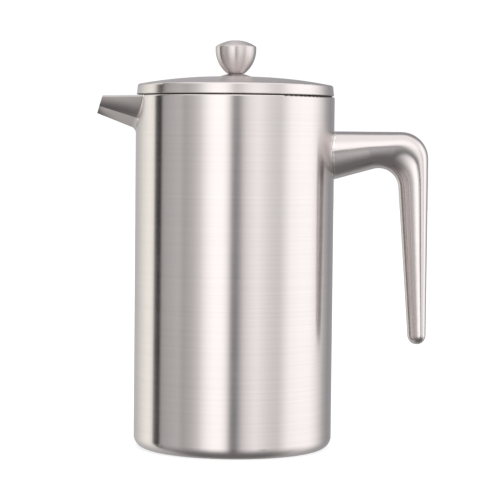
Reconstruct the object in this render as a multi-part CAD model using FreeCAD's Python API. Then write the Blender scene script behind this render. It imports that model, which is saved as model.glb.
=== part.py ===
"""A one-litre double-walled steel coffee press: vessel, pouring spout, hollow handle, lid and plunger.

Units are millimetres. The origin is the centre of the flat base, +Z is up, the handle points along +X
and the spout along -X. Every piece is drawn where it sits with the lid on and the plunger pushed down.
"""

import FreeCAD
import Part
import math
import os

Vector = FreeCAD.Vector
AXIS = Vector(0, 0, 1)
ORIGIN = Vector(0, 0, 0)
TINY = 0.01

# Vessel
BODY_RADIUS = 52.5
RIM_HEIGHT = 185.8
SHELL_WALL = 0.5
BASE_CORNER = 6.0  # outer radius of the rounded bottom edge
RIM_CORNER = 0.7  # rounding of the rim, outside and inside
BASE_OPENING_RADIUS = 44.0
BASE_PLATE_WALL = 0.8
BASE_PLATE_GAP = 0.05
BASE_GROOVE = (36.5, 40.0, 1.0)  # inner radius, outer radius and depth of the stiffening groove
BASE_GROOVE_ROUNDING = 0.4
LINER_RADIUS = 47.0  # inside of the vessel
LINER_WALL = 0.5
LINER_FLOOR = 9.0
LINER_CORNER = 8.0
RIM_SEAM_RADIUS = 50.0  # where the liner's flange meets the shell's turned-in edge

# Spout: its cross-section at the shell and at the lip, as (x, half-width of top, half-width of fold,
# z of fold, z of keel). Inside of the throat its cross-section stays the same.
SPOUT_AT_SHELL = (-52.5, 18.6, 13.1, 174.3, 168.35)
SPOUT_AT_LIP = (-73.1, 3.9, 3.0, 180.6, 176.35)
SPOUT_THROAT = -45.0
SPOUT_BULGE = 0.08  # how far a side wall bows out, as a share of its height from fold to rim
SPOUT_INNER_END = -36.0
SPOUT_OUTER_END = -76.0
SPOUT_WALL = 1.0
SPOUT_INSETS = (1.2, 0.8, 1.0, 1.2)  # how far an inset of 1 moves the keel up, the fold in and up, top in
SPOUT_LIP_TOP = -69.75  # x of the lip's upper end; its lower end is at SPOUT_AT_LIP
SPOUT_BLEND = 3.5  # radius of the blend into the shell
SPOUT_BLEND_FROM = 140.0  # a height well below the blend
SPOUT_OVERSHOOT = 12.0  # how far the wedge runs past the rim before it is trimmed

# Handle
SADDLE_WALL = 0.6
HANDLE_WALL = 1.3
HANDLE_TOP = 168.05
HANDLE_BACK = 102.2
HANDLE_BACK_CORNER = 14.2
HANDLE_END = 55.4
HANDLE_ROOT_UNDERSIDE = (50.0, 141.9)
HANDLE_ARM_SLOPE = (0.29, 1.0)  # rise and run of the arm's underside
HANDLE_GRIP_LEAN = 4.8  # degrees that the grip's inner side leans out from upright
HANDLE_BEND_INSIDE = (76.2, 138.2, 10.6)  # centre x, centre z and radius of the inside of the bend
HANDLE_END_INSIDE = (92.6, 60.6)
HANDLE_HALF_WIDTHS = (12.4, 11.6, 10.3, 7.4)  # at the root, at both ends of the bend, and at the grip's end
HANDLE_ARM_SHAPE = (2.2, 0.54)  # superellipse exponent of a section's outer part, and how far out from the
HANDLE_GRIP_SHAPE = (2.8, 0.68)  # inner side, as a share of its depth, the section is widest
HANDLE_INNER_POWER = 1.8  # superellipse exponent of a section's inner part
HANDLE_QUARTER_STEPS = 10
HANDLE_BEND_STEPS = 16
HANDLE_TIP_ANGLES = (0, 15, 30, 45, 60, 74, 86)
HANDLE_CUT_HEIGHTS = (100.0, 200.0)  # well below and above the root

# Lid
SEAL_THICKNESS = 0.6
SEAL_INNER_RADIUS = 46.2
SEAL_OUTER_RADIUS = 51.0
SEAL_ROUNDING = 0.3
LID_BOTTOM = RIM_HEIGHT + SEAL_THICKNESS
LID_RADIUS = 52.1
LID_TAPER = 0.45  # how much narrower the band is at its top
LID_WALL = 0.7
LID_BAND_BOTTOM = LID_BOTTOM + 0.1
LID_BAND_TOP = 191.7
LID_SHOULDER = 1.1  # rounding between the band and the dome
LID_HEM = 0.2  # chamfer of the band's lower edge
LID_CROWN = 196.35  # height of the dome's middle, were it not for the boss
DOME_POWER = 2.3  # 2 is a parabola; more keeps the middle flatter
DOME_POINTS = 7
BOSS_FOOT_RADIUS = 9.0
BOSS_TOP_RADIUS = 5.0
BOSS_TOP = 197.55
BOSS_WALL = 0.7
PAN_WALL = 0.6
PAN_FLANGE_RADIUS = 51.2
PAN_WELL_RADIUS = 45.4
PAN_FLOOR = 180.0
PAN_CORNER = 1.5
PAN_BROW_ROUNDING = 0.5
STRAINER_WALL = 0.6
STRAINER_BOTTOM = 171.0
STRAINER_TOP = 185.0
STRAINER_SLOTS = 7
STRAINER_SLOT = (1.8, 172.8, 179.2)  # width, lowest z and highest z
STRAINER_SLOT_PITCH = 5.0  # degrees
STRAINER_CUT = (40.0, 12.0)  # radius that a slot's cut starts at, and its length

# Plunger
ROD_RADIUS = 2.5
ROD_TOP = 207.0
ROD_SPIGOT_RADIUS = 2.0
ROD_SPIGOT_END = 10.2
ROD_END_ROUNDING = 0.4
RUNNING_CLEARANCE = 0.08
GUIDE_RADIUS = 4.2
GUIDE_FLANGE_RADIUS = 7.0
GUIDE_FLANGE = 1.4
GUIDE_TOP = 197.8
GUIDE_LEAD_IN = 0.3
GUIDE_FLANGE_ROUNDING = 0.5
GUIDE_TOP_ROUNDING = 0.2
WASHER_RADIUS = 7.6
WASHER_WALL = 0.6
WASHER_TEETH = 8
WASHER_NOTCH = (1.1, 0.7)  # depth and width of the notch between two teeth
KNOB_BOTTOM = 198.0
KNOB_NECK_RADIUS = 4.5
KNOB_RADIUS = 10.75
KNOB_WIDEST = 210.5
KNOB_SIDE_ARC = 15.7
KNOB_EDGE = 212.1
KNOB_TOP = 215.5
KNOB_EDGE_ROUNDING = 0.6
KNOB_CHAMFER = 0.2

# Filter, from the bottom up
NUT_BOTTOM = 10.0
NUT_FLATS = 9.0
NUT_CHAMFER = (4.6, 6.0)  # radius of the chamfer's cone at the bottom, and the height of that cone
CROSS_PLATE_BOTTOM = 13.6
CROSS_PLATE_WALL = 0.8
CROSS_PLATE_RADIUS = 44.0
CROSS_PLATE_LIP = 1.4
CROSS_PLATE_CORNERS = (0.3, 1.0)  # rounding inside and outside of the turned-down lip
CROSS_PLATE_WINDOWS = 8
CROSS_PLATE_WINDOW = (14.0, 34.0, 2.6)  # inner radius, outer radius and half-width of the spokes
CROSS_PLATE_WINDOW_ROUNDINGS = (1.4, 2.0)  # at a window's inner and outer corners
SUPPORT_SCREEN_RADIUS = 43.0
SUPPORT_SCREEN_THICKNESS = 0.7
FINE_SCREEN_RADIUS = 46.6
FINE_SCREEN_THICKNESS = 0.3
FINE_SCREEN_EDGE_TOP = 19.0
FINE_SCREEN_CORNER = 0.9
SPIRAL_PLATE_WALL = 0.8
SPIRAL_PLATE_FLAT_RADIUS = 35.0
SPIRAL_PLATE_RIM_INNER = 39.5
SPIRAL_PLATE_RIM_OUTER = 43.4
SPIRAL_PLATE_RISE = 2.0
SPIRAL_PLATE_BEND = 1.5  # rounding where the flat turns up into the rim
SPIRAL_PLATE_SHIFT = 0.15  # how far in the upper side's bends sit from the lower side's, for an even wall
SPIRAL_PLATE_HOLE_ROWS = ((13.0, 8, 2.4), (21.5, 14, 2.4), (30.0, 20, 2.4))  # row radius, count, hole radius
COIL_CENTRE_RADIUS = 43.9
COIL_TUBE_RADIUS = 2.1
COIL_WIRE = 0.6
COIL_TURNS = 120
COIL_SLIT_GAP = 0.05
COLLAR_DISC = (8.0, 1.2)  # radius and thickness
COLLAR_HUB = (4.4, 5.0)  # radius and full height
COLLAR_ROUNDING = 0.4

SPIGOT_HOLE_RADIUS = ROD_SPIGOT_RADIUS + 0.15
SUPPORT_SCREEN_BOTTOM = CROSS_PLATE_BOTTOM + CROSS_PLATE_WALL
FINE_SCREEN_BOTTOM = SUPPORT_SCREEN_BOTTOM + SUPPORT_SCREEN_THICKNESS
SPIRAL_PLATE_BOTTOM = FINE_SCREEN_BOTTOM + FINE_SCREEN_THICKNESS
ROD_SHOULDER = SPIRAL_PLATE_BOTTOM + SPIRAL_PLATE_WALL
SPIRAL_RIM_BOTTOM = SPIRAL_PLATE_BOTTOM + SPIRAL_PLATE_RISE
COIL_CENTRE_HEIGHT = SPIRAL_RIM_BOTTOM + SPIRAL_PLATE_WALL / 2


# ---------------------------------------------------------------- drawing helpers


def rounded_wire(corners, place):
    """A closed wire through corners (a, b, rounding), each placed by place(a, b) and rounded by an arc."""
    flat = [(Vector(a, b, 0), rounding) for a, b, rounding in corners]
    edges, ends = [], []
    for i, (corner, rounding) in enumerate(flat):
        before, after = flat[i - 1][0], flat[(i + 1) % len(flat)][0]
        if not rounding:
            ends.append((corner, None, corner))
            continue
        back = (before - corner).normalize()
        on = (after - corner).normalize()
        half = back.getAngle(on) / 2
        reach = rounding / math.tan(half)
        middle = corner + (back + on).normalize() * (rounding / math.sin(half) - rounding)
        ends.append((corner + back * reach, middle, corner + on * reach))
    for i, (first, middle, last) in enumerate(ends):
        following = ends[(i + 1) % len(ends)][0]
        if middle is not None:
            points = [place(p.x, p.y) for p in (first, middle, last)]
            edges.append(Part.Arc(*points).toShape())
        if last.distanceToPoint(following) > 1e-6:
            edges.append(Part.LineSegment(place(last.x, last.y), place(following.x, following.y)).toShape())
    return Part.Wire(edges)


def line(start, end):
    """A straight edge in the XZ plane; points here and below are (radius, z)."""
    return Part.LineSegment(Vector(start[0], 0, start[1]), Vector(end[0], 0, end[1])).toShape()


def arc(start, middle, end):
    return Part.Arc(*[Vector(r, 0, z) for r, z in (start, middle, end)]).toShape()


def spline(points):
    curve = Part.BSplineCurve()
    curve.interpolate([Vector(r, 0, z) for r, z in points])
    return curve.toShape()


def revolved(edges):
    return Part.Face(Part.Wire(edges)).revolve(ORIGIN, AXIS, 360)


def turned(corners):
    """A solid of revolution about Z. Each corner of its section is (radius, z, rounding)."""
    return revolved(rounded_wire(corners, lambda r, z: Vector(r, 0, z)).OrderedEdges)


def cylinder(radius, bottom, top):
    return Part.makeCylinder(radius, top - bottom, Vector(0, 0, bottom))


def ring(inner, outer, bottom, top):
    return cylinder(outer, bottom, top).cut(cylinder(inner, bottom - 1, top + 1))


def around(shape, count, first=0.0):
    """count copies of shape, evenly spaced around Z."""
    copies = []
    for i in range(count):
        copy = shape.copy()
        copy.rotate(ORIGIN, AXIS, first + i * 360.0 / count)
        copies.append(copy)
    return copies


# ---------------------------------------------------------------- vessel


def spout_section(x, inset):
    """The spout's outline in the plane at x, moved inwards by inset: a V, a fold, and side walls that bow
    out. It runs up past the rim."""
    share = (min(x, SPOUT_THROAT) - SPOUT_AT_SHELL[0]) / (SPOUT_AT_LIP[0] - SPOUT_AT_SHELL[0])
    half_top, half_fold, fold_z, keel_z = (
        a + share * (b - a) for a, b in zip(SPOUT_AT_SHELL[1:], SPOUT_AT_LIP[1:])
    )
    keel_up, fold_in, fold_up, top_in = (inset * factor for factor in SPOUT_INSETS)
    keel = Vector(x, 0, keel_z + keel_up)
    fold = Vector(x, half_fold - fold_in, fold_z + fold_up)
    top = Vector(x, half_top - top_in, RIM_HEIGHT)
    above = top + AXIS * SPOUT_OVERSHOOT
    chord = top - fold
    bowed = (top + fold) * 0.5 + Vector(0, chord.z, -chord.y) * SPOUT_BULGE
    edges = [
        Part.LineSegment(keel, fold).toShape(),
        Part.Arc(fold, bowed, top).toShape(),
        Part.LineSegment(top, above).toShape(),
    ]
    closing = Part.LineSegment(above, Vector(x, -above.y, above.z)).toShape()
    mirrored = [edge.mirror(ORIGIN, Vector(0, 1, 0)) for edge in reversed(edges)]
    return Part.Wire(edges + [closing] + mirrored)


def spout_block(inset=0.0):
    """The spout as a solid wedge from inside the vessel to beyond its lip."""
    ends = (SPOUT_OUTER_END, SPOUT_THROAT, SPOUT_INNER_END)
    outer, throat, inner = (spout_section(x, inset) for x in ends)
    return Part.makeLoft([outer, throat], True, True).fuse(Part.makeLoft([throat, inner], True, True))


def make_outer_shell():
    inside = BODY_RADIUS - SHELL_WALL
    shell = turned([
        (BASE_OPENING_RADIUS, 0, 0),
        (BODY_RADIUS, 0, BASE_CORNER),
        (BODY_RADIUS, RIM_HEIGHT, RIM_CORNER),
        (RIM_SEAM_RADIUS, RIM_HEIGHT, 0),
        (RIM_SEAM_RADIUS, RIM_HEIGHT - SHELL_WALL, 0),
        (inside, RIM_HEIGHT - SHELL_WALL, 0),
        (inside, SHELL_WALL, BASE_CORNER - SHELL_WALL),
        (BASE_OPENING_RADIUS, SHELL_WALL, 0),
    ])
    return shell.cut(spout_block())


def make_base_plate():
    """The plate that closes the bottom, with a stiffening groove pressed up into it."""
    inner, outer, depth = BASE_GROOVE
    soft, top = BASE_GROOVE_ROUNDING, BASE_PLATE_WALL
    edge = BASE_OPENING_RADIUS - BASE_PLATE_GAP
    return turned([
        (0, 0, 0),
        (inner, 0, soft),
        (inner + depth, depth, soft),
        (outer - depth, depth, soft),
        (outer, 0, soft),
        (edge, 0, 0),
        (edge, top, 0),
        (outer + soft, top, soft),
        (outer - depth + soft, depth + top, soft),
        (inner + depth - soft, depth + top, soft),
        (inner - soft, top, soft),
        (0, top, 0),
    ])


def make_inner_liner():
    outside = LINER_RADIUS + LINER_WALL
    liner = turned([
        (0, LINER_FLOOR, 0),
        (LINER_RADIUS, LINER_FLOOR, LINER_CORNER),
        (LINER_RADIUS, RIM_HEIGHT, RIM_CORNER),
        (RIM_SEAM_RADIUS, RIM_HEIGHT, 0),
        (RIM_SEAM_RADIUS, RIM_HEIGHT - LINER_WALL, 0),
        (outside, RIM_HEIGHT - LINER_WALL, 0),
        (outside, LINER_FLOOR - LINER_WALL, LINER_CORNER + LINER_WALL),
        (0, LINER_FLOOR - LINER_WALL, 0),
    ])
    return liner.cut(spout_block())


def make_spout():
    """A folded channel that lines the cut through both walls and blends into the shell outside."""
    above = RIM_HEIGHT + SPOUT_OVERSHOOT / 2
    blended = cylinder(BODY_RADIUS, SPOUT_BLEND_FROM, above).fuse(spout_block()).removeSplitter()

    def on_shell(parameter, edge):
        point = edge.valueAt(parameter)
        return abs(math.hypot(point.x, point.y) - BODY_RADIUS) < TINY and point.z < above - TINY

    seam = []
    for edge in blended.Edges:
        first, last = edge.FirstParameter, edge.LastParameter
        middle = (first + last) / 2
        on_spout_side = edge.valueAt(middle).x < -BODY_RADIUS / 2
        if on_shell(middle, edge) and on_spout_side and edge.BoundBox.ZLength > TINY:
            seam.append(edge)
    blended = blended.makeFillet(SPOUT_BLEND, seam)
    outside = blended.cut(cylinder(BODY_RADIUS, SPOUT_BLEND_FROM - 1, above + 1))
    throat = spout_block().common(ring(LINER_RADIUS, BODY_RADIUS, SPOUT_BLEND_FROM, above))
    spout = outside.fuse(throat).cut(spout_block(SPOUT_WALL))

    lip_x, lip_z = SPOUT_AT_LIP[0], SPOUT_AT_LIP[4]
    lean = (SPOUT_LIP_TOP - lip_x) / (RIM_HEIGHT - lip_z)
    low = SPOUT_BLEND_FROM
    side = [(lip_x - lean * (lip_z - low), low), (SPOUT_LIP_TOP, RIM_HEIGHT), (0, RIM_HEIGHT), (0, low)]
    corners = [Vector(x, -BODY_RADIUS, z) for x, z in side]
    keep = Part.Face(Part.makePolygon(corners + corners[:1])).extrude(Vector(0, 2 * BODY_RADIUS, 0))
    return spout.common(keep).removeSplitter()


# ---------------------------------------------------------------- handle


def handle_outline(degrees):
    """The point where a ray from the bend's centre, at an angle above level, leaves the outer side."""
    bend_x, bend_z, _ = HANDLE_BEND_INSIDE
    corner_x = HANDLE_BACK - HANDLE_BACK_CORNER
    corner_z = HANDLE_TOP - HANDLE_BACK_CORNER
    across, up = math.cos(math.radians(degrees)), math.sin(math.radians(degrees))
    if bend_x + (HANDLE_TOP - bend_z) / up * across <= corner_x:
        reach = (HANDLE_TOP - bend_z) / up
    elif bend_z + (HANDLE_BACK - bend_x) / across * up <= corner_z:
        reach = (HANDLE_BACK - bend_x) / across
    else:
        dx, dz = bend_x - corner_x, bend_z - corner_z
        along = dx * across + dz * up
        reach = -along + math.sqrt(along**2 - dx**2 - dz**2 + HANDLE_BACK_CORNER**2)
    return bend_x + reach * across, bend_z + reach * up


def handle_bend_stations():
    """Sections round the bend on rays from its centre, as (outer x, outer z, inner x, inner z, half-width,
    outer power, widest). The width changes evenly. The shape eases over from the arm's to the grip's."""
    bend_x, bend_z, bend_radius = HANDLE_BEND_INSIDE
    slope = math.degrees(math.atan2(*HANDLE_ARM_SLOPE))
    stations = []
    for i in range(HANDLE_BEND_STEPS + 1):
        share = i / HANDLE_BEND_STEPS
        degrees = 90 + slope + (HANDLE_GRIP_LEAN - 90 - slope) * share
        inner_x = bend_x + bend_radius * math.cos(math.radians(degrees))
        inner_z = bend_z + bend_radius * math.sin(math.radians(degrees))
        first_width, last_width = HANDLE_HALF_WIDTHS[1:3]
        half_width = first_width + (last_width - first_width) * share
        eased = share * share * (3 - 2 * share)
        shape = [a + (b - a) * eased for a, b in zip(HANDLE_ARM_SHAPE, HANDLE_GRIP_SHAPE)]
        stations.append((*handle_outline(degrees), inner_x, inner_z, half_width, *shape))
    return stations


def handle_section(station, inset=0.0, scale=1.0, drop=0.0):
    """One closed cross-section, moved inwards by inset, as four quarter curves: a superellipse outside of
    its widest part, and another one inside of it. It is scaled about its middle and lowered by drop."""
    outer_x, outer_z, inner_x, inner_z, half_width, outer_power, widest_share = station
    outer, inner = Vector(outer_x, 0, outer_z), Vector(inner_x, 0, inner_z)
    up, aside = (outer - inner).normalize(), Vector(0, 1, 0)
    depth = (outer - inner).Length
    widest = inner + up * (depth * widest_share)
    middle = (outer + inner) * 0.5
    quarters = []
    for side, way in ((1, 1), (-1, 1), (-1, -1), (1, -1)):
        power = outer_power if way > 0 else HANDLE_INNER_POWER
        height = depth * (1 - widest_share if way > 0 else widest_share) - inset
        points = []
        for i in range(HANDLE_QUARTER_STEPS + 1):
            turn = math.pi / 2 * i / HANDLE_QUARTER_STEPS
            across, along = math.cos(turn), math.sin(turn)
            reach = (across**power + along**power) ** (-1 / power)
            sideways = aside * (side * across * reach * (half_width - inset))
            outwards = up * (way * along * reach * height)
            points.append(middle + (widest - middle + sideways + outwards) * scale - AXIS * drop)
        tangents = [up * way, aside * -side]
        if side * way < 0:
            points.reverse()
            tangents = [aside * side, up * -way]
        curve = Part.BSplineCurve()
        curve.interpolate(
            Points=points, Parameters=list(range(len(points))),
            InitialTangent=tangents[0] * (points[1] - points[0]).Length,
            FinalTangent=tangents[1] * (points[-1] - points[-2]).Length,
        )
        quarters.append(curve.toShape())
    return Part.Wire(quarters)


def handle_body(inset=0.0):
    """The whole handle as a solid, moved inwards by inset: arm, bend, grip and round tip."""
    root_x, root_z = HANDLE_ROOT_UNDERSIDE
    end_x, end_z = HANDLE_END_INSIDE
    root_width, end_width = HANDLE_HALF_WIDTHS[0], HANDLE_HALF_WIDTHS[-1]
    root = handle_section((root_x, HANDLE_TOP, root_x, root_z, root_width, *HANDLE_ARM_SHAPE), inset)
    bend = [handle_section(station, inset) for station in handle_bend_stations()]
    end = (HANDLE_BACK, end_z, end_x, end_z, end_width, *HANDLE_GRIP_SHAPE)
    depth = end_z - HANDLE_END - inset
    tip = []
    for degrees in HANDLE_TIP_ANGLES:
        turn = math.radians(degrees)
        tip.append(handle_section(end, inset, math.cos(turn), depth * math.sin(turn)))
    arm = Part.makeLoft([root, bend[0]], True, True)
    grip = Part.makeLoft([bend[-1], tip[0]], True, True)
    return arm.fuse([Part.makeLoft(bend, True, False), grip, Part.makeLoft(tip, True, False)])


def make_handle():
    handle = handle_body().cut(handle_body(HANDLE_WALL))
    return handle.cut(cylinder(BODY_RADIUS + SADDLE_WALL, *HANDLE_CUT_HEIGHTS))


def make_handle_saddle():
    """The curved plate that closes the hollow handle's root and is welded to the shell."""
    return handle_body().common(ring(BODY_RADIUS, BODY_RADIUS + SADDLE_WALL, *HANDLE_CUT_HEIGHTS))


# ---------------------------------------------------------------- lid


def make_lid_seal():
    return turned([
        (SEAL_INNER_RADIUS, RIM_HEIGHT, 0),
        (SEAL_OUTER_RADIUS, RIM_HEIGHT, SEAL_ROUNDING),
        (SEAL_OUTER_RADIUS, LID_BOTTOM, SEAL_ROUNDING),
        (SEAL_INNER_RADIUS, LID_BOTTOM, 0),
    ])


def dome(first, last, drop):
    """Points down the dome's side, from radius first to radius last, lowered by drop."""
    points = []
    for i in range(DOME_POINTS):
        r = first + (last - first) * i / (DOME_POINTS - 1)
        fall = (LID_CROWN - LID_BAND_TOP) * (r / LID_RADIUS) ** DOME_POWER
        points.append((r, LID_CROWN - fall - drop))
    return points


def make_lid_cover():
    """The domed cover with its upright band, and a boss around the hole for the rod guide."""
    hole = GUIDE_RADIUS + RUNNING_CLEARANCE
    top = LID_RADIUS - LID_TAPER
    softening = LID_SHOULDER * (1 - math.cos(math.pi / 4))
    outside = dome(BOSS_FOOT_RADIUS, top - LID_SHOULDER, 0)
    inside = dome(BOSS_FOOT_RADIUS - BOSS_WALL / 2, top - LID_SHOULDER, LID_WALL)
    edge_z = outside[-1][1]
    corner = [
        outside[-1],
        (top - softening, edge_z - softening),
        (top, edge_z - LID_SHOULDER),
        (LID_RADIUS, LID_BAND_BOTTOM + LID_HEM),
        (LID_RADIUS - LID_HEM, LID_BAND_BOTTOM),
        (LID_RADIUS - LID_WALL, LID_BAND_BOTTOM),
        (top - LID_WALL, edge_z - LID_SHOULDER),
        inside[-1],
    ]
    boss = [
        inside[0],
        (BOSS_TOP_RADIUS - BOSS_WALL / 2, BOSS_TOP - BOSS_WALL),
        (hole, BOSS_TOP - BOSS_WALL),
        (hole, BOSS_TOP),
        (BOSS_TOP_RADIUS, BOSS_TOP),
        outside[0],
    ]
    edges = [spline(outside), arc(*corner[:3])]
    edges += [line(a, b) for a, b in zip(corner[2:], corner[3:])]
    edges.append(spline(inside[::-1]))
    edges += [line(a, b) for a, b in zip(boss, boss[1:])]
    return revolved(edges)


def make_lid_pan():
    """The pressed pan that closes the lid's underside and carries the rod guide."""
    hole = GUIDE_RADIUS + RUNNING_CLEARANCE
    return turned([
        (hole, PAN_FLOOR, 0),
        (PAN_WELL_RADIUS, PAN_FLOOR, PAN_CORNER),
        (PAN_WELL_RADIUS, LID_BOTTOM, 0),
        (PAN_FLANGE_RADIUS, LID_BOTTOM, 0),
        (PAN_FLANGE_RADIUS, LID_BOTTOM + PAN_WALL, 0),
        (PAN_WELL_RADIUS - PAN_WALL, LID_BOTTOM + PAN_WALL, PAN_BROW_ROUNDING),
        (PAN_WELL_RADIUS - PAN_WALL, PAN_FLOOR + PAN_WALL, PAN_CORNER - PAN_WALL),
        (hole, PAN_FLOOR + PAN_WALL, 0),
    ])


def make_lid_strainer():
    """The slotted band under the lid. Its slots face the spout when the lid is open to pour."""
    band = ring(PAN_WELL_RADIUS, PAN_WELL_RADIUS + STRAINER_WALL, STRAINER_BOTTOM, STRAINER_TOP)
    width, low, high = STRAINER_SLOT
    start, length = STRAINER_CUT
    middle = (STRAINER_SLOTS - 1) / 2
    slots = []
    for i in range(STRAINER_SLOTS):
        slot = Part.makeBox(length, width, high - low - width, Vector(start, -width / 2, low + width / 2))
        ends = [
            Part.makeCylinder(width / 2, length, Vector(start, 0, z), Vector(1, 0, 0))
            for z in (low + width / 2, high - width / 2)
        ]
        slot = slot.fuse(ends)
        slot.rotate(ORIGIN, AXIS, 180 + (i - middle) * STRAINER_SLOT_PITCH)
        slots.append(slot)
    return band.cut(slots)


def make_rod_guide():
    """The flanged plastic bush that the rod slides and turns in."""
    bore = ROD_RADIUS + RUNNING_CLEARANCE
    return turned([
        (bore, PAN_FLOOR - GUIDE_FLANGE, GUIDE_LEAD_IN),
        (GUIDE_FLANGE_RADIUS, PAN_FLOOR - GUIDE_FLANGE, GUIDE_FLANGE_ROUNDING),
        (GUIDE_FLANGE_RADIUS, PAN_FLOOR, 0),
        (GUIDE_RADIUS, PAN_FLOOR, 0),
        (GUIDE_RADIUS, GUIDE_TOP, GUIDE_TOP_ROUNDING),
        (bore, GUIDE_TOP, GUIDE_TOP_ROUNDING),
    ])


def make_guide_washer():
    """The push-on washer that holds the guide in the pan, with teeth that grip the bush."""
    bottom = PAN_FLOOR + PAN_WALL
    disc = ring(GUIDE_RADIUS, WASHER_RADIUS, bottom, bottom + WASHER_WALL)
    depth, width = WASHER_NOTCH
    notch = Part.makeBox(
        GUIDE_RADIUS + depth, width, WASHER_WALL + 2, Vector(0, -width / 2, bottom - 1)
    )
    return disc.cut(around(notch, WASHER_TEETH))


# ---------------------------------------------------------------- plunger


def make_knob():
    """The turned knob: a spherical crown over one long side curve, with a blind bore for the rod."""

    def side(z):
        return KNOB_RADIUS - KNOB_SIDE_ARC + math.sqrt(KNOB_SIDE_ARC**2 - (z - KNOB_WIDEST) ** 2)

    neck = (side(KNOB_BOTTOM + KNOB_CHAMFER), KNOB_BOTTOM + KNOB_CHAMFER)
    foot = (neck[0] - KNOB_CHAMFER, KNOB_BOTTOM)
    middle_z = (KNOB_BOTTOM + KNOB_WIDEST) / 2
    blank = revolved([
        line((0, KNOB_BOTTOM), foot),
        line(foot, neck),
        arc(neck, (side(middle_z), middle_z), (KNOB_RADIUS, KNOB_WIDEST)),
        line((KNOB_RADIUS, KNOB_WIDEST), (KNOB_RADIUS, KNOB_TOP)),
        line((KNOB_RADIUS, KNOB_TOP), (0, KNOB_TOP)),
        line((0, KNOB_TOP), (0, KNOB_BOTTOM)),
    ])
    rise = KNOB_TOP - KNOB_EDGE
    crown_radius = (KNOB_RADIUS**2 + rise**2) / (2 * rise)
    knob = blank.common(Part.makeSphere(crown_radius, Vector(0, 0, KNOB_TOP - crown_radius)))
    rim = [e for e in knob.Edges if abs(e.BoundBox.ZMin - KNOB_EDGE) < TINY and e.BoundBox.ZLength < TINY]
    return knob.makeFillet(KNOB_EDGE_ROUNDING, rim).cut(cylinder(ROD_RADIUS, KNOB_BOTTOM - 1, ROD_TOP))


def make_plunger_rod():
    return turned([
        (0, ROD_SPIGOT_END, 0),
        (ROD_SPIGOT_RADIUS, ROD_SPIGOT_END, ROD_END_ROUNDING),
        (ROD_SPIGOT_RADIUS, ROD_SHOULDER, 0),
        (ROD_RADIUS, ROD_SHOULDER, 0),
        (ROD_RADIUS, ROD_TOP, 0),
        (0, ROD_TOP, 0),
    ])


def make_rod_collar():
    """The turned collar on the rod that presses the filter plates together."""
    disc_radius, disc_height = COLLAR_DISC
    hub_radius, hub_height = COLLAR_HUB
    bottom = ROD_SHOULDER
    return turned([
        (ROD_RADIUS, bottom, 0),
        (disc_radius, bottom, COLLAR_ROUNDING),
        (disc_radius, bottom + disc_height, COLLAR_ROUNDING),
        (hub_radius, bottom + disc_height, COLLAR_ROUNDING),
        (hub_radius, bottom + hub_height, COLLAR_ROUNDING),
        (ROD_RADIUS, bottom + hub_height, 0),
    ])


def make_spiral_plate():
    """The perforated dished plate, with a ring of small holes that the edge spring is threaded through."""
    low, high, wall = SPIRAL_PLATE_BOTTOM, SPIRAL_RIM_BOTTOM, SPIRAL_PLATE_WALL
    bend, shift = SPIRAL_PLATE_BEND, SPIRAL_PLATE_SHIFT
    plate = turned([
        (SPIGOT_HOLE_RADIUS, low, 0),
        (SPIRAL_PLATE_FLAT_RADIUS, low, bend),
        (SPIRAL_PLATE_RIM_INNER, high, bend),
        (SPIRAL_PLATE_RIM_OUTER, high, 0),
        (SPIRAL_PLATE_RIM_OUTER, high + wall, 0),
        (SPIRAL_PLATE_RIM_INNER - shift, high + wall, bend),
        (SPIRAL_PLATE_FLAT_RADIUS - shift, low + wall, bend),
        (SPIGOT_HOLE_RADIUS, low + wall, 0),
    ])
    holes = []
    for row_radius, count, hole_radius in SPIRAL_PLATE_HOLE_ROWS:
        hole = Part.makeCylinder(hole_radius, 6, Vector(row_radius, 0, low - 2))
        holes += around(hole, count, first=row_radius)
    thread_radius = COIL_CENTRE_RADIUS - COIL_TUBE_RADIUS + COIL_WIRE / 2
    thread_hole = Part.makeCylinder(COIL_WIRE, 4, Vector(thread_radius, 0, high - 1))
    holes += around(thread_hole, COIL_TURNS)
    return plate.cut(holes)


def make_spring_coil():
    """The edge spring as a split tube around the spiral plate's rim: the space that its turns fill."""
    centre = Vector(0, 0, COIL_CENTRE_HEIGHT)
    tube = Part.makeTorus(COIL_CENTRE_RADIUS, COIL_TUBE_RADIUS, centre)
    hollow = Part.makeTorus(COIL_CENTRE_RADIUS, COIL_TUBE_RADIUS - COIL_WIRE, centre)
    half_slit = SPIRAL_PLATE_WALL / 2 + COIL_SLIT_GAP
    low, high = COIL_CENTRE_HEIGHT - half_slit, COIL_CENTRE_HEIGHT + half_slit
    slit = ring(SPIRAL_PLATE_RIM_INNER, COIL_CENTRE_RADIUS, low, high)
    return tube.cut(hollow).cut(slit)


def make_fine_screen():
    """The fine woven screen, whose edge is turned up between the edge spring and the vessel's wall."""
    low, wall = FINE_SCREEN_BOTTOM, FINE_SCREEN_THICKNESS
    return turned([
        (SPIGOT_HOLE_RADIUS, low, 0),
        (FINE_SCREEN_RADIUS, low, FINE_SCREEN_CORNER),
        (FINE_SCREEN_RADIUS, FINE_SCREEN_EDGE_TOP, 0),
        (FINE_SCREEN_RADIUS - wall, FINE_SCREEN_EDGE_TOP, 0),
        (FINE_SCREEN_RADIUS - wall, low + wall, FINE_SCREEN_CORNER - wall),
        (SPIGOT_HOLE_RADIUS, low + wall, 0),
    ])


def make_support_screen():
    low = SUPPORT_SCREEN_BOTTOM
    return ring(SPIGOT_HOLE_RADIUS, SUPPORT_SCREEN_RADIUS, low, low + SUPPORT_SCREEN_THICKNESS)


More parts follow.
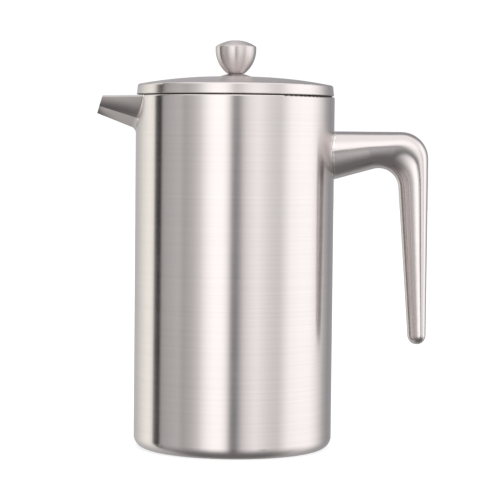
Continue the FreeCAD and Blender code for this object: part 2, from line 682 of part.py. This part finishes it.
def make_cross_plate():
    """The spoked bottom plate, with a short lip turned down around its edge."""
    low, wall, lip = CROSS_PLATE_BOTTOM, CROSS_PLATE_WALL, CROSS_PLATE_LIP
    inside_corner, outside_corner = CROSS_PLATE_CORNERS
    plate = turned([
        (SPIGOT_HOLE_RADIUS, low, 0),
        (CROSS_PLATE_RADIUS - wall, low, inside_corner),
        (CROSS_PLATE_RADIUS - wall, low - lip, 0),
        (CROSS_PLATE_RADIUS, low - lip, 0),
        (CROSS_PLATE_RADIUS, low + wall, outside_corner),
        (SPIGOT_HOLE_RADIUS, low + wall, 0),
    ])
    inner, outer, spoke = CROSS_PLATE_WINDOW
    inner_end = (inner, CROSS_PLATE_WINDOW_ROUNDINGS[0])
    outer_end = (outer, CROSS_PLATE_WINDOW_ROUNDINGS[1])
    pitch = math.pi / CROSS_PLATE_WINDOWS
    corners = []
    for (radius, rounding), sign in ((inner_end, -1), (outer_end, -1), (outer_end, 1), (inner_end, 1)):
        a = pitch - math.asin(spoke / radius)
        corners.append((radius * math.cos(a), sign * radius * math.sin(a), rounding))
    window = Part.Face(rounded_wire(corners, lambda x, y: Vector(x, y, low - 5))).extrude(Vector(0, 0, 10))
    return plate.cut(around(window, CROSS_PLATE_WINDOWS, first=180.0 / CROSS_PLATE_WINDOWS))


def make_hub_nut():
    """The hexagonal threaded hub under the cross plate."""
    across_corners = NUT_FLATS / math.cos(math.pi / 6)
    corners = [
        (across_corners / 2 * math.cos(a), across_corners / 2 * math.sin(a), 0)
        for a in (math.radians(60 * i) for i in range(6))
    ]
    hexagon = Part.Face(rounded_wire(corners, lambda x, y: Vector(x, y, NUT_BOTTOM)))
    block = hexagon.extrude(Vector(0, 0, CROSS_PLATE_BOTTOM - NUT_BOTTOM))
    foot, rise = NUT_CHAMFER
    chamfer = Part.makeCone(foot, foot + rise, rise, Vector(0, 0, NUT_BOTTOM))
    return block.common(chamfer).cut(cylinder(ROD_SPIGOT_RADIUS, NUT_BOTTOM - 1, CROSS_PLATE_BOTTOM + 1))


PIECES = {
    "outer_shell": make_outer_shell,
    "base_plate": make_base_plate,
    "inner_liner": make_inner_liner,
    "spout": make_spout,
    "handle_saddle": make_handle_saddle,
    "handle": make_handle,
    "lid_seal": make_lid_seal,
    "lid_cover": make_lid_cover,
    "lid_pan": make_lid_pan,
    "lid_strainer": make_lid_strainer,
    "rod_guide": make_rod_guide,
    "guide_washer": make_guide_washer,
    "knob": make_knob,
    "plunger_rod": make_plunger_rod,
    "rod_collar": make_rod_collar,
    "spiral_plate": make_spiral_plate,
    "spring_coil": make_spring_coil,
    "fine_screen": make_fine_screen,
    "support_screen": make_support_screen,
    "cross_plate": make_cross_plate,
    "hub_nut": make_hub_nut,
}

os.makedirs("parts", exist_ok=True)
for name, make in PIECES.items():
    shape = make()
    print(name, "valid", shape.isValid(), "solids", len(shape.Solids), "volume", round(shape.Volume, 1))
    shape.exportStep(os.path.join("parts", name + ".step"))
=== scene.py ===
"""Looks of a double-walled steel french press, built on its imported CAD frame. Units are metres."""

import math

import bpy
import numpy as np
from mathutils import Matrix, Vector


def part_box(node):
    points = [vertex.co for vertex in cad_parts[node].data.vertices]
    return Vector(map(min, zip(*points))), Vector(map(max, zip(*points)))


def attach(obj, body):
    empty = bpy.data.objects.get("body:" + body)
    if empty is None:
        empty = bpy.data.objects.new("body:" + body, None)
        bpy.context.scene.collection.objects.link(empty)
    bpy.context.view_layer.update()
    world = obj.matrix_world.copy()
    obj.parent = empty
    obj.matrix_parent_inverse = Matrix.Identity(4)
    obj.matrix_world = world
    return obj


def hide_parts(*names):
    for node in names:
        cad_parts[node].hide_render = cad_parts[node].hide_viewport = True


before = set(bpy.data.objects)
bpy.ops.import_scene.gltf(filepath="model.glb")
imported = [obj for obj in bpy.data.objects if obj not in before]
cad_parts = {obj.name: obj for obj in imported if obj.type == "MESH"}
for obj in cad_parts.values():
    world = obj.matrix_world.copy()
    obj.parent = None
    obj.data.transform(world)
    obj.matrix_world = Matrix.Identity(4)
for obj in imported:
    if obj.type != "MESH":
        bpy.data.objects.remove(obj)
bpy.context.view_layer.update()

MM = 0.001

# ---------------------------------------------------------------- node materials

NOISE_SPAN = (0.3, 0.7)  # nearly all of a noise's values lie in here


def feed(tree, socket, value):
    """Gives a socket a link, where value is another socket, or else a constant."""
    if isinstance(value, bpy.types.NodeSocket):
        tree.links.new(value, socket)
    else:
        socket.default_value = value


def add_node(tree, kind, *inputs, **settings):
    """A new shader node with its settings made and its first sockets fed."""
    made = tree.nodes.new("ShaderNode" + kind)
    for key, value in settings.items():
        setattr(made, key, value)
    for socket, value in zip(made.inputs, inputs):
        feed(tree, socket, value)
    return made


class Surface:
    """A material with one Principled shader, whose detail comes from nodes in the object's coordinates."""

    def __init__(self, name, colour, roughness, metallic=0.0):
        self.material = bpy.data.materials.new(name)
        self.material.use_nodes = True
        self.tree = self.material.node_tree
        self.shader = self.tree.nodes["Principled BSDF"]
        self.shader.inputs["Metallic"].default_value = metallic
        self.base_colour = colour
        self.base_roughness = roughness
        self.position = self.node("TexCoord").outputs["Object"]
        self.set_detail()

    def node(self, kind, *inputs, **settings):
        return add_node(self.tree, kind, *inputs, **settings)

    def math(self, operation, *values):
        return self.node("Math", *values, operation=operation).outputs[0]

    def scaled(self, vector, factors):
        return self.node("VectorMath", vector, factors, operation="MULTIPLY").outputs[0]

    def coordinates(self):
        return self.node("SeparateXYZ", self.position).outputs

    def radius(self):
        """Distance from the press's upright axis."""
        x, y, _ = self.coordinates()
        flat = self.node("CombineXYZ", x, y, 0.0).outputs[0]
        return self.node("VectorMath", flat, operation="LENGTH").outputs["Value"]

    def noise(self, vector, scale=1.0, detail=2.0):
        made = self.node("TexNoise")
        feed(self.tree, made.inputs["Vector"], vector)
        made.inputs["Scale"].default_value = scale
        made.inputs["Detail"].default_value = detail
        return made.outputs[0]

    def remap(self, value, low, high, to_low, to_high):
        made = self.node("MapRange", value, low, high, to_low, to_high, interpolation_type="SMOOTHSTEP")
        return made.outputs[0]

    def set_detail(self, shade=None, roughness=None):
        """Multiplies the base colour by shade and adds roughness to the base roughness."""
        if shade is None:
            self.shader.inputs["Base Color"].default_value = (*self.base_colour, 1.0)
        else:
            feed(self.tree, self.shader.inputs["Base Color"], self.scaled(shade, self.base_colour))
        if roughness is None:
            self.shader.inputs["Roughness"].default_value = self.base_roughness
        else:
            total = self.math("ADD", roughness, self.base_roughness)
            feed(self.tree, self.shader.inputs["Roughness"], total)

    def bump(self, height, depth, strength):
        made = self.node("Bump")
        made.inputs["Strength"].default_value = strength
        made.inputs["Distance"].default_value = depth
        feed(self.tree, made.inputs["Height"], height)
        feed(self.tree, self.shader.inputs["Normal"], made.outputs[0])


def grain_coordinates(surface, pattern, along, across):
    """Coordinates whose noise makes streaks. along and across are the streaks' frequencies per metre."""
    if pattern == "around":
        return surface.scaled(surface.position, (along, along, across))
    if pattern == "lengthwise":
        return surface.scaled(surface.position, (along, across, along))
    if pattern == "rings":
        x, y, _ = surface.coordinates()
        parts = (x, along), (y, along), (surface.radius(), across)
        return surface.node("CombineXYZ", *(surface.math("MULTIPLY", *part) for part in parts)).outputs[0]
    raise ValueError(pattern)


FINE_GRAIN, BROAD_GRAIN = (12.0, 5200.0), (5.0, 900.0)  # streaks per metre along and across the brushing
FINE_SHARE = 0.55
MARK_SCALE = 38.0  # handling marks per metre
MARK_SPAN = (0.42, 0.7)
MARK_DULLING = 0.015
STREAK_SHADES = (-0.035, 0.025)
STREAK_DULLING = (-0.008, 0.01)
STREAK_DEPTH, STREAK_STRENGTH = 0.004 * MM, 0.15
QUARTER_TURN = 0.25  # turns the shader's stretched highlight across the brushing


def brushed_steel(name, colour, roughness, pattern, anisotropy=0.0, streak=1.0, tint=None, dulling=None):
    """Brushed stainless steel: fine streaks in colour, roughness and height, and faint handling marks.

    tint and dulling, given the surface, return a factor for its colour and a number to add to its roughness.
    """
    surface = Surface(name, colour, roughness, metallic=1.0)
    fine = surface.noise(grain_coordinates(surface, pattern, *FINE_GRAIN), detail=3.0)
    broad = surface.noise(grain_coordinates(surface, pattern, *BROAD_GRAIN), detail=2.0)
    marks = surface.noise(surface.position, scale=MARK_SCALE, detail=4.0)
    broad_part = surface.math("MULTIPLY", broad, 1.0 - FINE_SHARE)
    streaks = surface.math("MULTIPLY_ADD", fine, FINE_SHARE, broad_part)
    shade = surface.remap(streaks, *NOISE_SPAN, *(1.0 + change * streak for change in STREAK_SHADES))
    worn = surface.remap(marks, *MARK_SPAN, 0.0, MARK_DULLING)
    dull = surface.math("ADD", surface.remap(streaks, *NOISE_SPAN, *STREAK_DULLING), worn)
    if tint:
        shade = surface.math("MULTIPLY", shade, tint(surface))
    if dulling:
        dull = surface.math("ADD", dull, dulling(surface))
    surface.set_detail(shade, dull)
    surface.bump(streaks, STREAK_DEPTH, STREAK_STRENGTH * streak)
    if anisotropy:
        surface.shader.inputs["Anisotropic"].default_value = anisotropy
        surface.shader.inputs["Anisotropic Rotation"].default_value = QUARTER_TURN
        tangent = surface.node("Tangent", direction_type="RADIAL", axis="Z")
        feed(surface.tree, surface.shader.inputs["Tangent"], tangent.outputs[0])
    return surface.material


FOLD_SLOPE, FOLD_BASE = 0.3058, 158.24 * MM  # the spout's fold lies where z + slope * x is the base
FOLD_WIDTH = 0.4 * MM
FOLD_PAINTED_SHADE, SPOUT_PAINTED_SHADE = 0.5, 1.1  # painted shade right above the fold, and the painted level away from it
FOLD_PAINTED_SHADE_HEIGHT = 8.0 * MM  # how far above the fold its painted shade reaches
RIM_HEIGHT = 185.8 * MM
# the spout's upper edge gets a painted highlight between these heights
SPOUT_HIGHLIGHT_SPAN = (RIM_HEIGHT - 1.4 * MM, RIM_HEIGHT - 0.3 * MM)
SPOUT_PAINTED_HIGHLIGHT = 1.9
SEAM_SPAN = (53.3 * MM, 53.7 * MM)  # the painted highlight and dark specks along the handle's weld fade out between these distances from the axis
# most of the weld line is lifted to 1.5 times the colour as painted highlight; where the noise is low it has
# dark specks
SPECK_SCALE, SPECK_SPAN, SPECK_AND_HIGHLIGHT_SHADE = 800.0, (0.40, 0.48), 0.5
DOME_START = (191.2 * MM, 191.8 * MM)
DOME_DULLING = 0.05


def spout_painted_shade_and_highlight(surface):
    """Painted shade, darkest just above the fold and evener towards the rim, and a painted highlight along
    the upper edge.
    """
    x, _, z = surface.coordinates()
    above_fold = surface.math("SUBTRACT", surface.math("MULTIPLY_ADD", x, FOLD_SLOPE, z), FOLD_BASE)
    painted_fold_shade = surface.remap(above_fold, 0.0, FOLD_PAINTED_SHADE_HEIGHT, FOLD_PAINTED_SHADE, SPOUT_PAINTED_SHADE)
    painted_underside = surface.remap(above_fold, -FOLD_WIDTH / 2, FOLD_WIDTH / 2, SPOUT_PAINTED_SHADE, 0.0)
    painted_edge_highlight = surface.remap(z, *SPOUT_HIGHLIGHT_SPAN, 1.0, SPOUT_PAINTED_HIGHLIGHT)
    return surface.math("MULTIPLY", surface.math("MAXIMUM", painted_fold_shade, painted_underside), painted_edge_highlight)


def seam_highlight_and_specks(surface):
    """A painted highlight along the weld around the handle's root, with dark specks in it."""
    seam = surface.remap(surface.radius(), *SEAM_SPAN, 1.0, 0.0)
    specks = surface.noise(surface.position, scale=SPECK_SCALE)
    change = surface.remap(specks, *SPECK_SPAN, -SPECK_AND_HIGHLIGHT_SHADE, SPECK_AND_HIGHLIGHT_SHADE)
    return surface.math("MULTIPLY_ADD", seam, change, 1.0)


def dome_dulling(surface):
    """The lid's dome is duller than its brushed band."""
    return surface.remap(surface.coordinates()[2], *DOME_START, 0.0, DOME_DULLING)


def speckled(name, colour, roughness, scale, detail, shades, spread, depth, strength):
    """A matt moulded surface, whose speckle changes its colour, roughness and height."""
    surface = Surface(name, colour, roughness)
    speckle = surface.noise(surface.position, scale=scale, detail=detail)
    shade = surface.remap(speckle, *NOISE_SPAN, *shades)
    surface.set_detail(shade, surface.remap(speckle, *NOISE_SPAN, -spread, spread))
    surface.bump(speckle, depth, strength)
    return surface.material


def silicone():
    return speckled(
        "seal_silicone", (0.018, 0.016, 0.014), 0.62, scale=900.0, detail=3.0, shades=(0.8, 1.3),
        spread=0.06, depth=0.02 * MM, strength=0.3,
    )


def moulded_plastic():
    return speckled(
        "guide_plastic", (0.022, 0.022, 0.024), 0.42, scale=1400.0, detail=2.0, shades=(0.85, 1.2),
        spread=0.05, depth=0.03 * MM, strength=0.25,
    )


STEEL = (0.622, 0.578, 0.568)
# the spout's steel is a darker copy of the body's steel: painted shade
SHADED_SPOUT_STEEL = (0.535, 0.490, 0.478)

MATERIALS = {
    "outer_shell": brushed_steel("body_steel", STEEL, 0.21, "around", anisotropy=0.93),
    "base_plate": brushed_steel("base_steel", STEEL, 0.36, "rings", anisotropy=0.4),
    "inner_liner": brushed_steel("liner_steel", STEEL, 0.30, "around", anisotropy=0.6),
    # the spout's colour carries painted shade above its fold and a painted highlight along its upper edge
    "spout": brushed_steel("spout_steel", SHADED_SPOUT_STEEL, 0.24, "lengthwise", streak=0.6, tint=spout_painted_shade_and_highlight),
    "handle_saddle": brushed_steel("saddle_steel", STEEL, 0.22, "lengthwise", streak=0.4),
    # the handle's colour carries a painted highlight along its root weld
    "handle": brushed_steel("handle_steel", STEEL, 0.17, "lengthwise", streak=0.3, tint=seam_highlight_and_specks),
    "lid_seal": silicone(),
    "lid_cover": brushed_steel("lid_steel", STEEL, 0.25, "rings", anisotropy=0.7, dulling=dome_dulling),
    "lid_pan": brushed_steel("lid_pan_steel", STEEL, 0.30, "rings", anisotropy=0.5),
    "lid_strainer": brushed_steel("strainer_steel", STEEL, 0.30, "around", anisotropy=0.5),
    "rod_guide": moulded_plastic(),
    "guide_washer": brushed_steel("washer_steel", STEEL, 0.32, "rings"),
    "knob": brushed_steel("knob_steel", STEEL, 0.30, "rings", anisotropy=1.0, streak=0.5),
    "plunger_rod": brushed_steel("rod_steel", STEEL, 0.18, "around", anisotropy=0.3),
    "rod_collar": brushed_steel("collar_steel", STEEL, 0.24, "around", anisotropy=0.4),
    "spiral_plate": brushed_steel("spiral_plate_steel", STEEL, 0.30, "rings", anisotropy=0.4),
    "cross_plate": brushed_steel("cross_plate_steel", STEEL, 0.30, "rings", anisotropy=0.4),
    "hub_nut": brushed_steel("nut_steel", STEEL, 0.30, "around"),
}

for node, material in MATERIALS.items():
    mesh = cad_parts[node].data
    mesh.materials.clear()
    mesh.materials.append(material)

# ---------------------------------------------------------------- woven screens and edge spring

TINY = 1e-6
WOVEN_ROUGHNESS = 0.34
TARNISH_SCALE = 60.0

FINE_WIRE, FINE_PITCH, FINE_SIDES = 0.14 * MM, 0.8 * MM, 4
FINE_HOLE = 2.3 * MM
FINE_CUP_BEND = 0.9 * MM
FINE_TRIM = 1.0 * MM  # how much shorter the wires are than the screen's floor and wall
FINE_RIM_WIRE, FINE_RIM_STEPS, FINE_RIM_SIDES = 0.25 * MM, 180, 6

SUPPORT_PITCH, SUPPORT_SIDES = 1.8 * MM, 6
SUPPORT_HOLE = 2.6 * MM

SPRING_TURNS, SPRING_STEPS, SPRING_SIDES = 120, 14, 6
SPRING_WIRE = 0.6 * MM


def mesh_object(name, points, faces, material, body):
    mesh = bpy.data.meshes.new(name)
    mesh.from_pydata([tuple(p) for p in points], [], faces)
    mesh.polygons.foreach_set("use_smooth", [True] * len(mesh.polygons))
    mesh.materials.append(material)
    mesh.update()
    made = bpy.data.objects.new(name, mesh)
    bpy.context.scene.collection.objects.link(made)
    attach(made, body)
    return made


def tube(path, radius, sides, closed=False):
    """Vertices and faces of a round wire that follows path, an array of points."""
    path = np.asarray(path, float)
    if closed:
        tangent = np.roll(path, -1, 0) - np.roll(path, 1, 0)
    else:
        tangent = np.gradient(path, axis=0)
    tangent /= np.linalg.norm(tangent, axis=1)[:, None]
    flat = np.cross(tangent, (0.0, 0.0, 1.0))
    flat[np.linalg.norm(flat, axis=1) < TINY] = (1.0, 0.0, 0.0)  # where the wire runs upright
    flat /= np.linalg.norm(flat, axis=1)[:, None]
    other = np.cross(flat, tangent)
    turns = 2 * math.pi * np.arange(sides) / sides
    ring = np.cos(turns)[None, :, None] * flat[:, None, :] + np.sin(turns)[None, :, None] * other[:, None, :]
    points = (path[:, None, :] + radius * ring).reshape(-1, 3)
    faces = []
    count = len(path)
    for i in range(count if closed else count - 1):
        here, there = i * sides, ((i + 1) % count) * sides
        for j in range(sides):
            k = (j + 1) % sides
            faces.append((here + j, here + k, there + k, there + j))
    if not closed:
        faces.append(tuple(reversed(range(sides))))
        faces.append(tuple(range((count - 1) * sides, count * sides)))
    return points, faces


def joined(tubes):
    points, faces, start = [], [], 0
    for tube_points, tube_faces in tubes:
        points.append(tube_points)
        faces += [tuple(i + start for i in face) for face in tube_faces]
        start += len(tube_points)
    return np.concatenate(points), faces


def woven_wires(reach, pitch, wire, middle_z, hole, sides):
    """Wires of a plain weave over a disc of radius reach, with a round hole in the middle."""
    tubes = []
    count = int(reach / pitch)
    for direction in (0, 1):
        for i in range(-count, count + 1):
            offset = (i + 0.5) * pitch
            half = math.sqrt(max(reach**2 - offset**2, 0.0))
            if half < 2 * pitch:
                continue
            gap = math.sqrt(hole**2 - offset**2) if abs(offset) < hole else 0.0
            spans = [(-half, -gap), (gap, half)] if gap else [(-half, half)]
            for start, end in spans:
                crossings = np.arange(math.ceil(start / pitch - 0.5), math.floor(end / pitch - 0.5) + 1)
                if len(crossings) < 2:
                    continue
                s = (crossings + 0.5) * pitch
                over = np.where((crossings + i + direction) % 2 == 0, 1.0, -1.0)
                z = middle_z + over * wire / 2
                across = np.full_like(s, offset)
                path = np.stack([s, across, z] if direction == 0 else [across, s, z], 1)
                tubes.append((path, wire / 2, sides))
    return tubes


def cupped(path, edge_radius, base_z):
    """Turns the part of a flat path outside edge_radius up into a short wall."""
    path = path.copy()
    radius = np.hypot(path[:, 0], path[:, 1])
    bend = FINE_CUP_BEND
    corner = edge_radius - bend
    beyond = np.maximum(radius - corner, 0.0)
    quarter = bend * math.pi / 2
    angle = np.minimum(beyond, quarter) / bend
    above = path[:, 2] - base_z
    new_radius = np.where(beyond > 0, corner + (bend - above) * np.sin(angle), radius)
    rise = bend - (bend - above) * np.cos(angle) + np.maximum(beyond - quarter, 0.0)
    z = np.where(beyond > 0, base_z + rise, path[:, 2])
    scale = new_radius / np.maximum(radius, TINY)
    return np.stack([path[:, 0] * scale, path[:, 1] * scale, z], 1)


def woven_steel(name, colour):
    surface = Surface(name, colour, WOVEN_ROUGHNESS, metallic=1.0)
    tarnish = surface.noise(surface.position, scale=TARNISH_SCALE, detail=3.0)
    shade = surface.remap(tarnish, *NOISE_SPAN, 0.8, 1.1)
    surface.set_detail(shade, surface.remap(tarnish, *NOISE_SPAN, -0.04, 0.08))
    return surface.material


def make_fine_screen():
    low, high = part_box("fine_screen")
    outer, middle = high.x - FINE_WIRE, low.z + FINE_WIRE
    reach = outer + (high.z - low.z) - FINE_TRIM
    wires = woven_wires(reach, FINE_PITCH, FINE_WIRE, middle, FINE_HOLE, FINE_SIDES)
    tubes = [tube(cupped(path, outer, middle), radius, sides) for path, radius, sides in wires]
    turns = np.linspace(0, 2 * math.pi, FINE_RIM_STEPS, endpoint=False)
    rim_radius, rim_z = outer - FINE_WIRE / 2, high.z - FINE_RIM_WIRE
    rim = np.stack([rim_radius * np.cos(turns), rim_radius * np.sin(turns), np.full_like(turns, rim_z)], 1)
    tubes.append(tube(rim, FINE_RIM_WIRE, FINE_RIM_SIDES, closed=True))
    points, faces = joined(tubes)
    material = woven_steel("fine_screen_steel", (0.56, 0.55, 0.53))
    made = mesh_object("fine_woven_screen", points, faces, material, "plunger")
    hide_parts("fine_screen")


def make_support_screen():
    low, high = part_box("support_screen")
    wire = (high.z - low.z) / 2
    middle = (low.z + high.z) / 2
    wires = woven_wires(high.x - wire, SUPPORT_PITCH, wire, middle, SUPPORT_HOLE, SUPPORT_SIDES)
    points, faces = joined([tube(*w) for w in wires])
    material = woven_steel("support_screen_steel", (0.60, 0.59, 0.57))
    made = mesh_object("support_woven_screen", points, faces, material, "plunger")
    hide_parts("support_screen")


def make_edge_spring():
    """A coil threaded through the ring of small holes in the spiral plate's rim."""
    low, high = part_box("spring_coil")
    tube_radius = (high.z - low.z) / 2
    centre_radius, centre_z = high.x - tube_radius, (low.z + high.z) / 2
    count = SPRING_TURNS * SPRING_STEPS
    t = np.arange(count) / count
    around, coil = 2 * math.pi * t, 2 * math.pi * SPRING_TURNS * t + math.pi
    reach = tube_radius - SPRING_WIRE / 2
    radius = centre_radius + reach * np.cos(coil)
    path = np.stack([radius * np.cos(around), radius * np.sin(around), centre_z + reach * np.sin(coil)], 1)
    points, faces = tube(path, SPRING_WIRE / 2, SPRING_SIDES, closed=True)
    material = brushed_steel("spring_wire_steel", (0.60, 0.58, 0.56), 0.26, "rings")
    made = mesh_object("edge_spring", points, faces, material, "plunger")
    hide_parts("spring_coil")


make_fine_screen()
make_support_screen()
make_edge_spring()

# ---------------------------------------------------------------- studio

# The studio's walls, which the steel mirrors as upright bands: azimuth in degrees (0 is behind the camera and
# +90 is on the handle's side), brightness and coolness.
STUDIO = (
    (-180, 0.44, 2), (-150, 0.66, 0), (-137, 0.92, -1), (-128, 1.15, -1), (-116, 1.38, -1), (-107, 1.26, -1),
    (-103.5, 0.06, 0), (-93.5, 0.00, 0), (-91.5, 0.57, 0), (-80, 0.65, 0), (-66, 0.74, 0), (-59, 0.58, 0),
    (-48, 0.74, 0), (-40, 0.98, 0), (-34, 1.38, 0), (-28, 1.67, 0), (-21, 1.82, 0), (-12, 1.80, 0),
    (-7, 1.38, 0), (-1, 0.24, 1), (4, 0.20, 1), (12, 0.97, 0), (19, 1.25, 0), (27, 1.42, 0),
    (43, 1.09, 0), (54, 0.99, 0), (69, 1.58, 0), (84, 1.68, 0), (100, 1.64, 0), (110, 1.40, 0),
    (131, 0.60, 0), (143, 0.40, 1),
)
COOLNESS = 0.05  # how much bluer a wall with coolness 1 is
WALL_PEAK = 2.0  # brightness that a full colour of the ramp stands for
OVERHEAD_FRONT, OVERHEAD_TOP = 1.65, 1.30  # brightness of the light above, which leans towards the camera
OVERHEAD_TURN = (-0.9, -0.3)
OVERHEAD_LEAN, OVERHEAD_SPAN = 0.45, (0.52, 0.82)
TABLE_FRONT, TABLE_BACK = 0.20, 0.55  # brightness of the table in front of the object and behind it
TABLE_TURN = (-0.1, 0.2)
TABLE_FOOT = (-0.95, -0.75)  # straight below the object the table is as dark as in front
WALL_FOOT = (-0.95, -0.05)
BACKDROP = 1.05

FLOOR_RADIUS, FLOOR_SIDES = 4.0, 96
FLOOR_GREY, FLOOR_ROUGHNESS, FLOOR_GLOW = 0.40, 0.9, 0.72

CAMERA_PLACE = (0.0085, -1.0743, 0.1606)
CAMERA_PITCH, CAMERA_ROLL = 0.052, 0.0103  # radians
CAMERA_LENS, CAMERA_SENSOR = 145.9, 36.0  # millimetres
CAMERA_REACH = 20.0


def make_world():
    """Studio walls from dark to bright around the object, a light above, and a table below.

    Only the object is lit by them and mirrors them. The camera sees plain white behind it.
    """
    world = bpy.data.worlds.new("studio")
    bpy.context.scene.world = world
    world.use_nodes = True
    tree = world.node_tree
    tree.nodes.clear()

    def node(kind, *inputs, **settings):
        return add_node(tree, kind, *inputs, **settings)

    direction = node("TexCoord").outputs["Generated"]
    x, y, z = node("SeparateXYZ", direction).outputs
    toward = node("Math", y, -1.0, operation="MULTIPLY").outputs[0]
    azimuth = node("Math", x, toward, operation="ARCTAN2").outputs[0]
    share = node("Math", azimuth, 1 / (2 * math.pi), 0.5, operation="MULTIPLY_ADD").outputs[0]
    ramp = node("ValToRGB", share)
    stops = ramp.color_ramp.elements
    while len(stops) < len(STUDIO):
        stops.new(1.0)
    for stop, (degrees, level, coolness) in zip(stops, STUDIO):
        stop.position = degrees / 360 + 0.5
        shade = level / WALL_PEAK
        stop.color = (shade, shade, shade * (1 + COOLNESS * coolness), 1.0)
    ramp.color_ramp.interpolation = "LINEAR"
    walls = node("Background", ramp.outputs[0], WALL_PEAK)

    def blend(value, span, below, above):
        share = node("MapRange", value, *span, 0.0, 1.0, interpolation_type="SMOOTHSTEP").outputs[0]
        return node("MixShader", share, below.outputs[0], above.outputs[0])

    def plain(level):
        return node("Background", (level, level, level, 1.0), 1.0)

    table_behind = blend(z, TABLE_FOOT, plain(TABLE_FRONT), plain(TABLE_BACK))
    table = blend(y, TABLE_TURN, plain(TABLE_FRONT), table_behind)
    overhead = blend(y, OVERHEAD_TURN, plain(OVERHEAD_FRONT), plain(OVERHEAD_TOP))
    leaning = node("Math", y, -OVERHEAD_LEAN, z, operation="MULTIPLY_ADD").outputs[0]
    lit = blend(leaning, OVERHEAD_SPAN, blend(z, WALL_FOOT, table, walls), overhead)
    white = node("Background", (1.0, 1.0, 1.0, 1.0), BACKDROP)
    seen = node("LightPath").outputs["Is Camera Ray"]
    mixed = node("MixShader", seen, lit.outputs[0], white.outputs[0])
    output = tree.nodes.new("ShaderNodeOutputWorld")
    tree.links.new(mixed.outputs[0], output.inputs["Surface"])


def make_floor():
    """A plain white floor with a glow of its own. The steel mirrors the world's table instead of it."""
    turns = [2 * math.pi * i / FLOOR_SIDES for i in range(FLOOR_SIDES)]
    points = [(FLOOR_RADIUS * math.cos(turn), FLOOR_RADIUS * math.sin(turn), 0.0) for turn in turns]
    mesh = bpy.data.meshes.new("floor")
    mesh.from_pydata(points, [], [tuple(range(FLOOR_SIDES))])
    surface = Surface("floor_white", (FLOOR_GREY,) * 3, FLOOR_ROUGHNESS)
    surface.shader.inputs["Emission Color"].default_value = (1.0, 1.0, 1.0, 1.0)
    surface.shader.inputs["Emission Strength"].default_value = FLOOR_GLOW
    surface.shader.inputs["Specular IOR Level"].default_value = 0.0
    mesh.materials.append(surface.material)
    floor = bpy.data.objects.new("floor", mesh)
    bpy.context.scene.collection.objects.link(floor)
    floor.visible_glossy = False


def make_camera():
    camera = bpy.data.cameras.new("camera")
    camera.sensor_width = CAMERA_SENSOR
    camera.lens = CAMERA_LENS
    camera.clip_end = CAMERA_REACH
    made = bpy.data.objects.new("camera", camera)
    bpy.context.scene.collection.objects.link(made)
    tilt = Matrix.Rotation(math.pi / 2 - CAMERA_PITCH, 4, "X") @ Matrix.Rotation(CAMERA_ROLL, 4, "Z")
    made.matrix_world = Matrix.Translation(Vector(CAMERA_PLACE)) @ tilt
    bpy.context.scene.camera = made


make_world()
make_floor()
make_camera()
bpy.context.scene.view_settings.view_transform = "Standard"
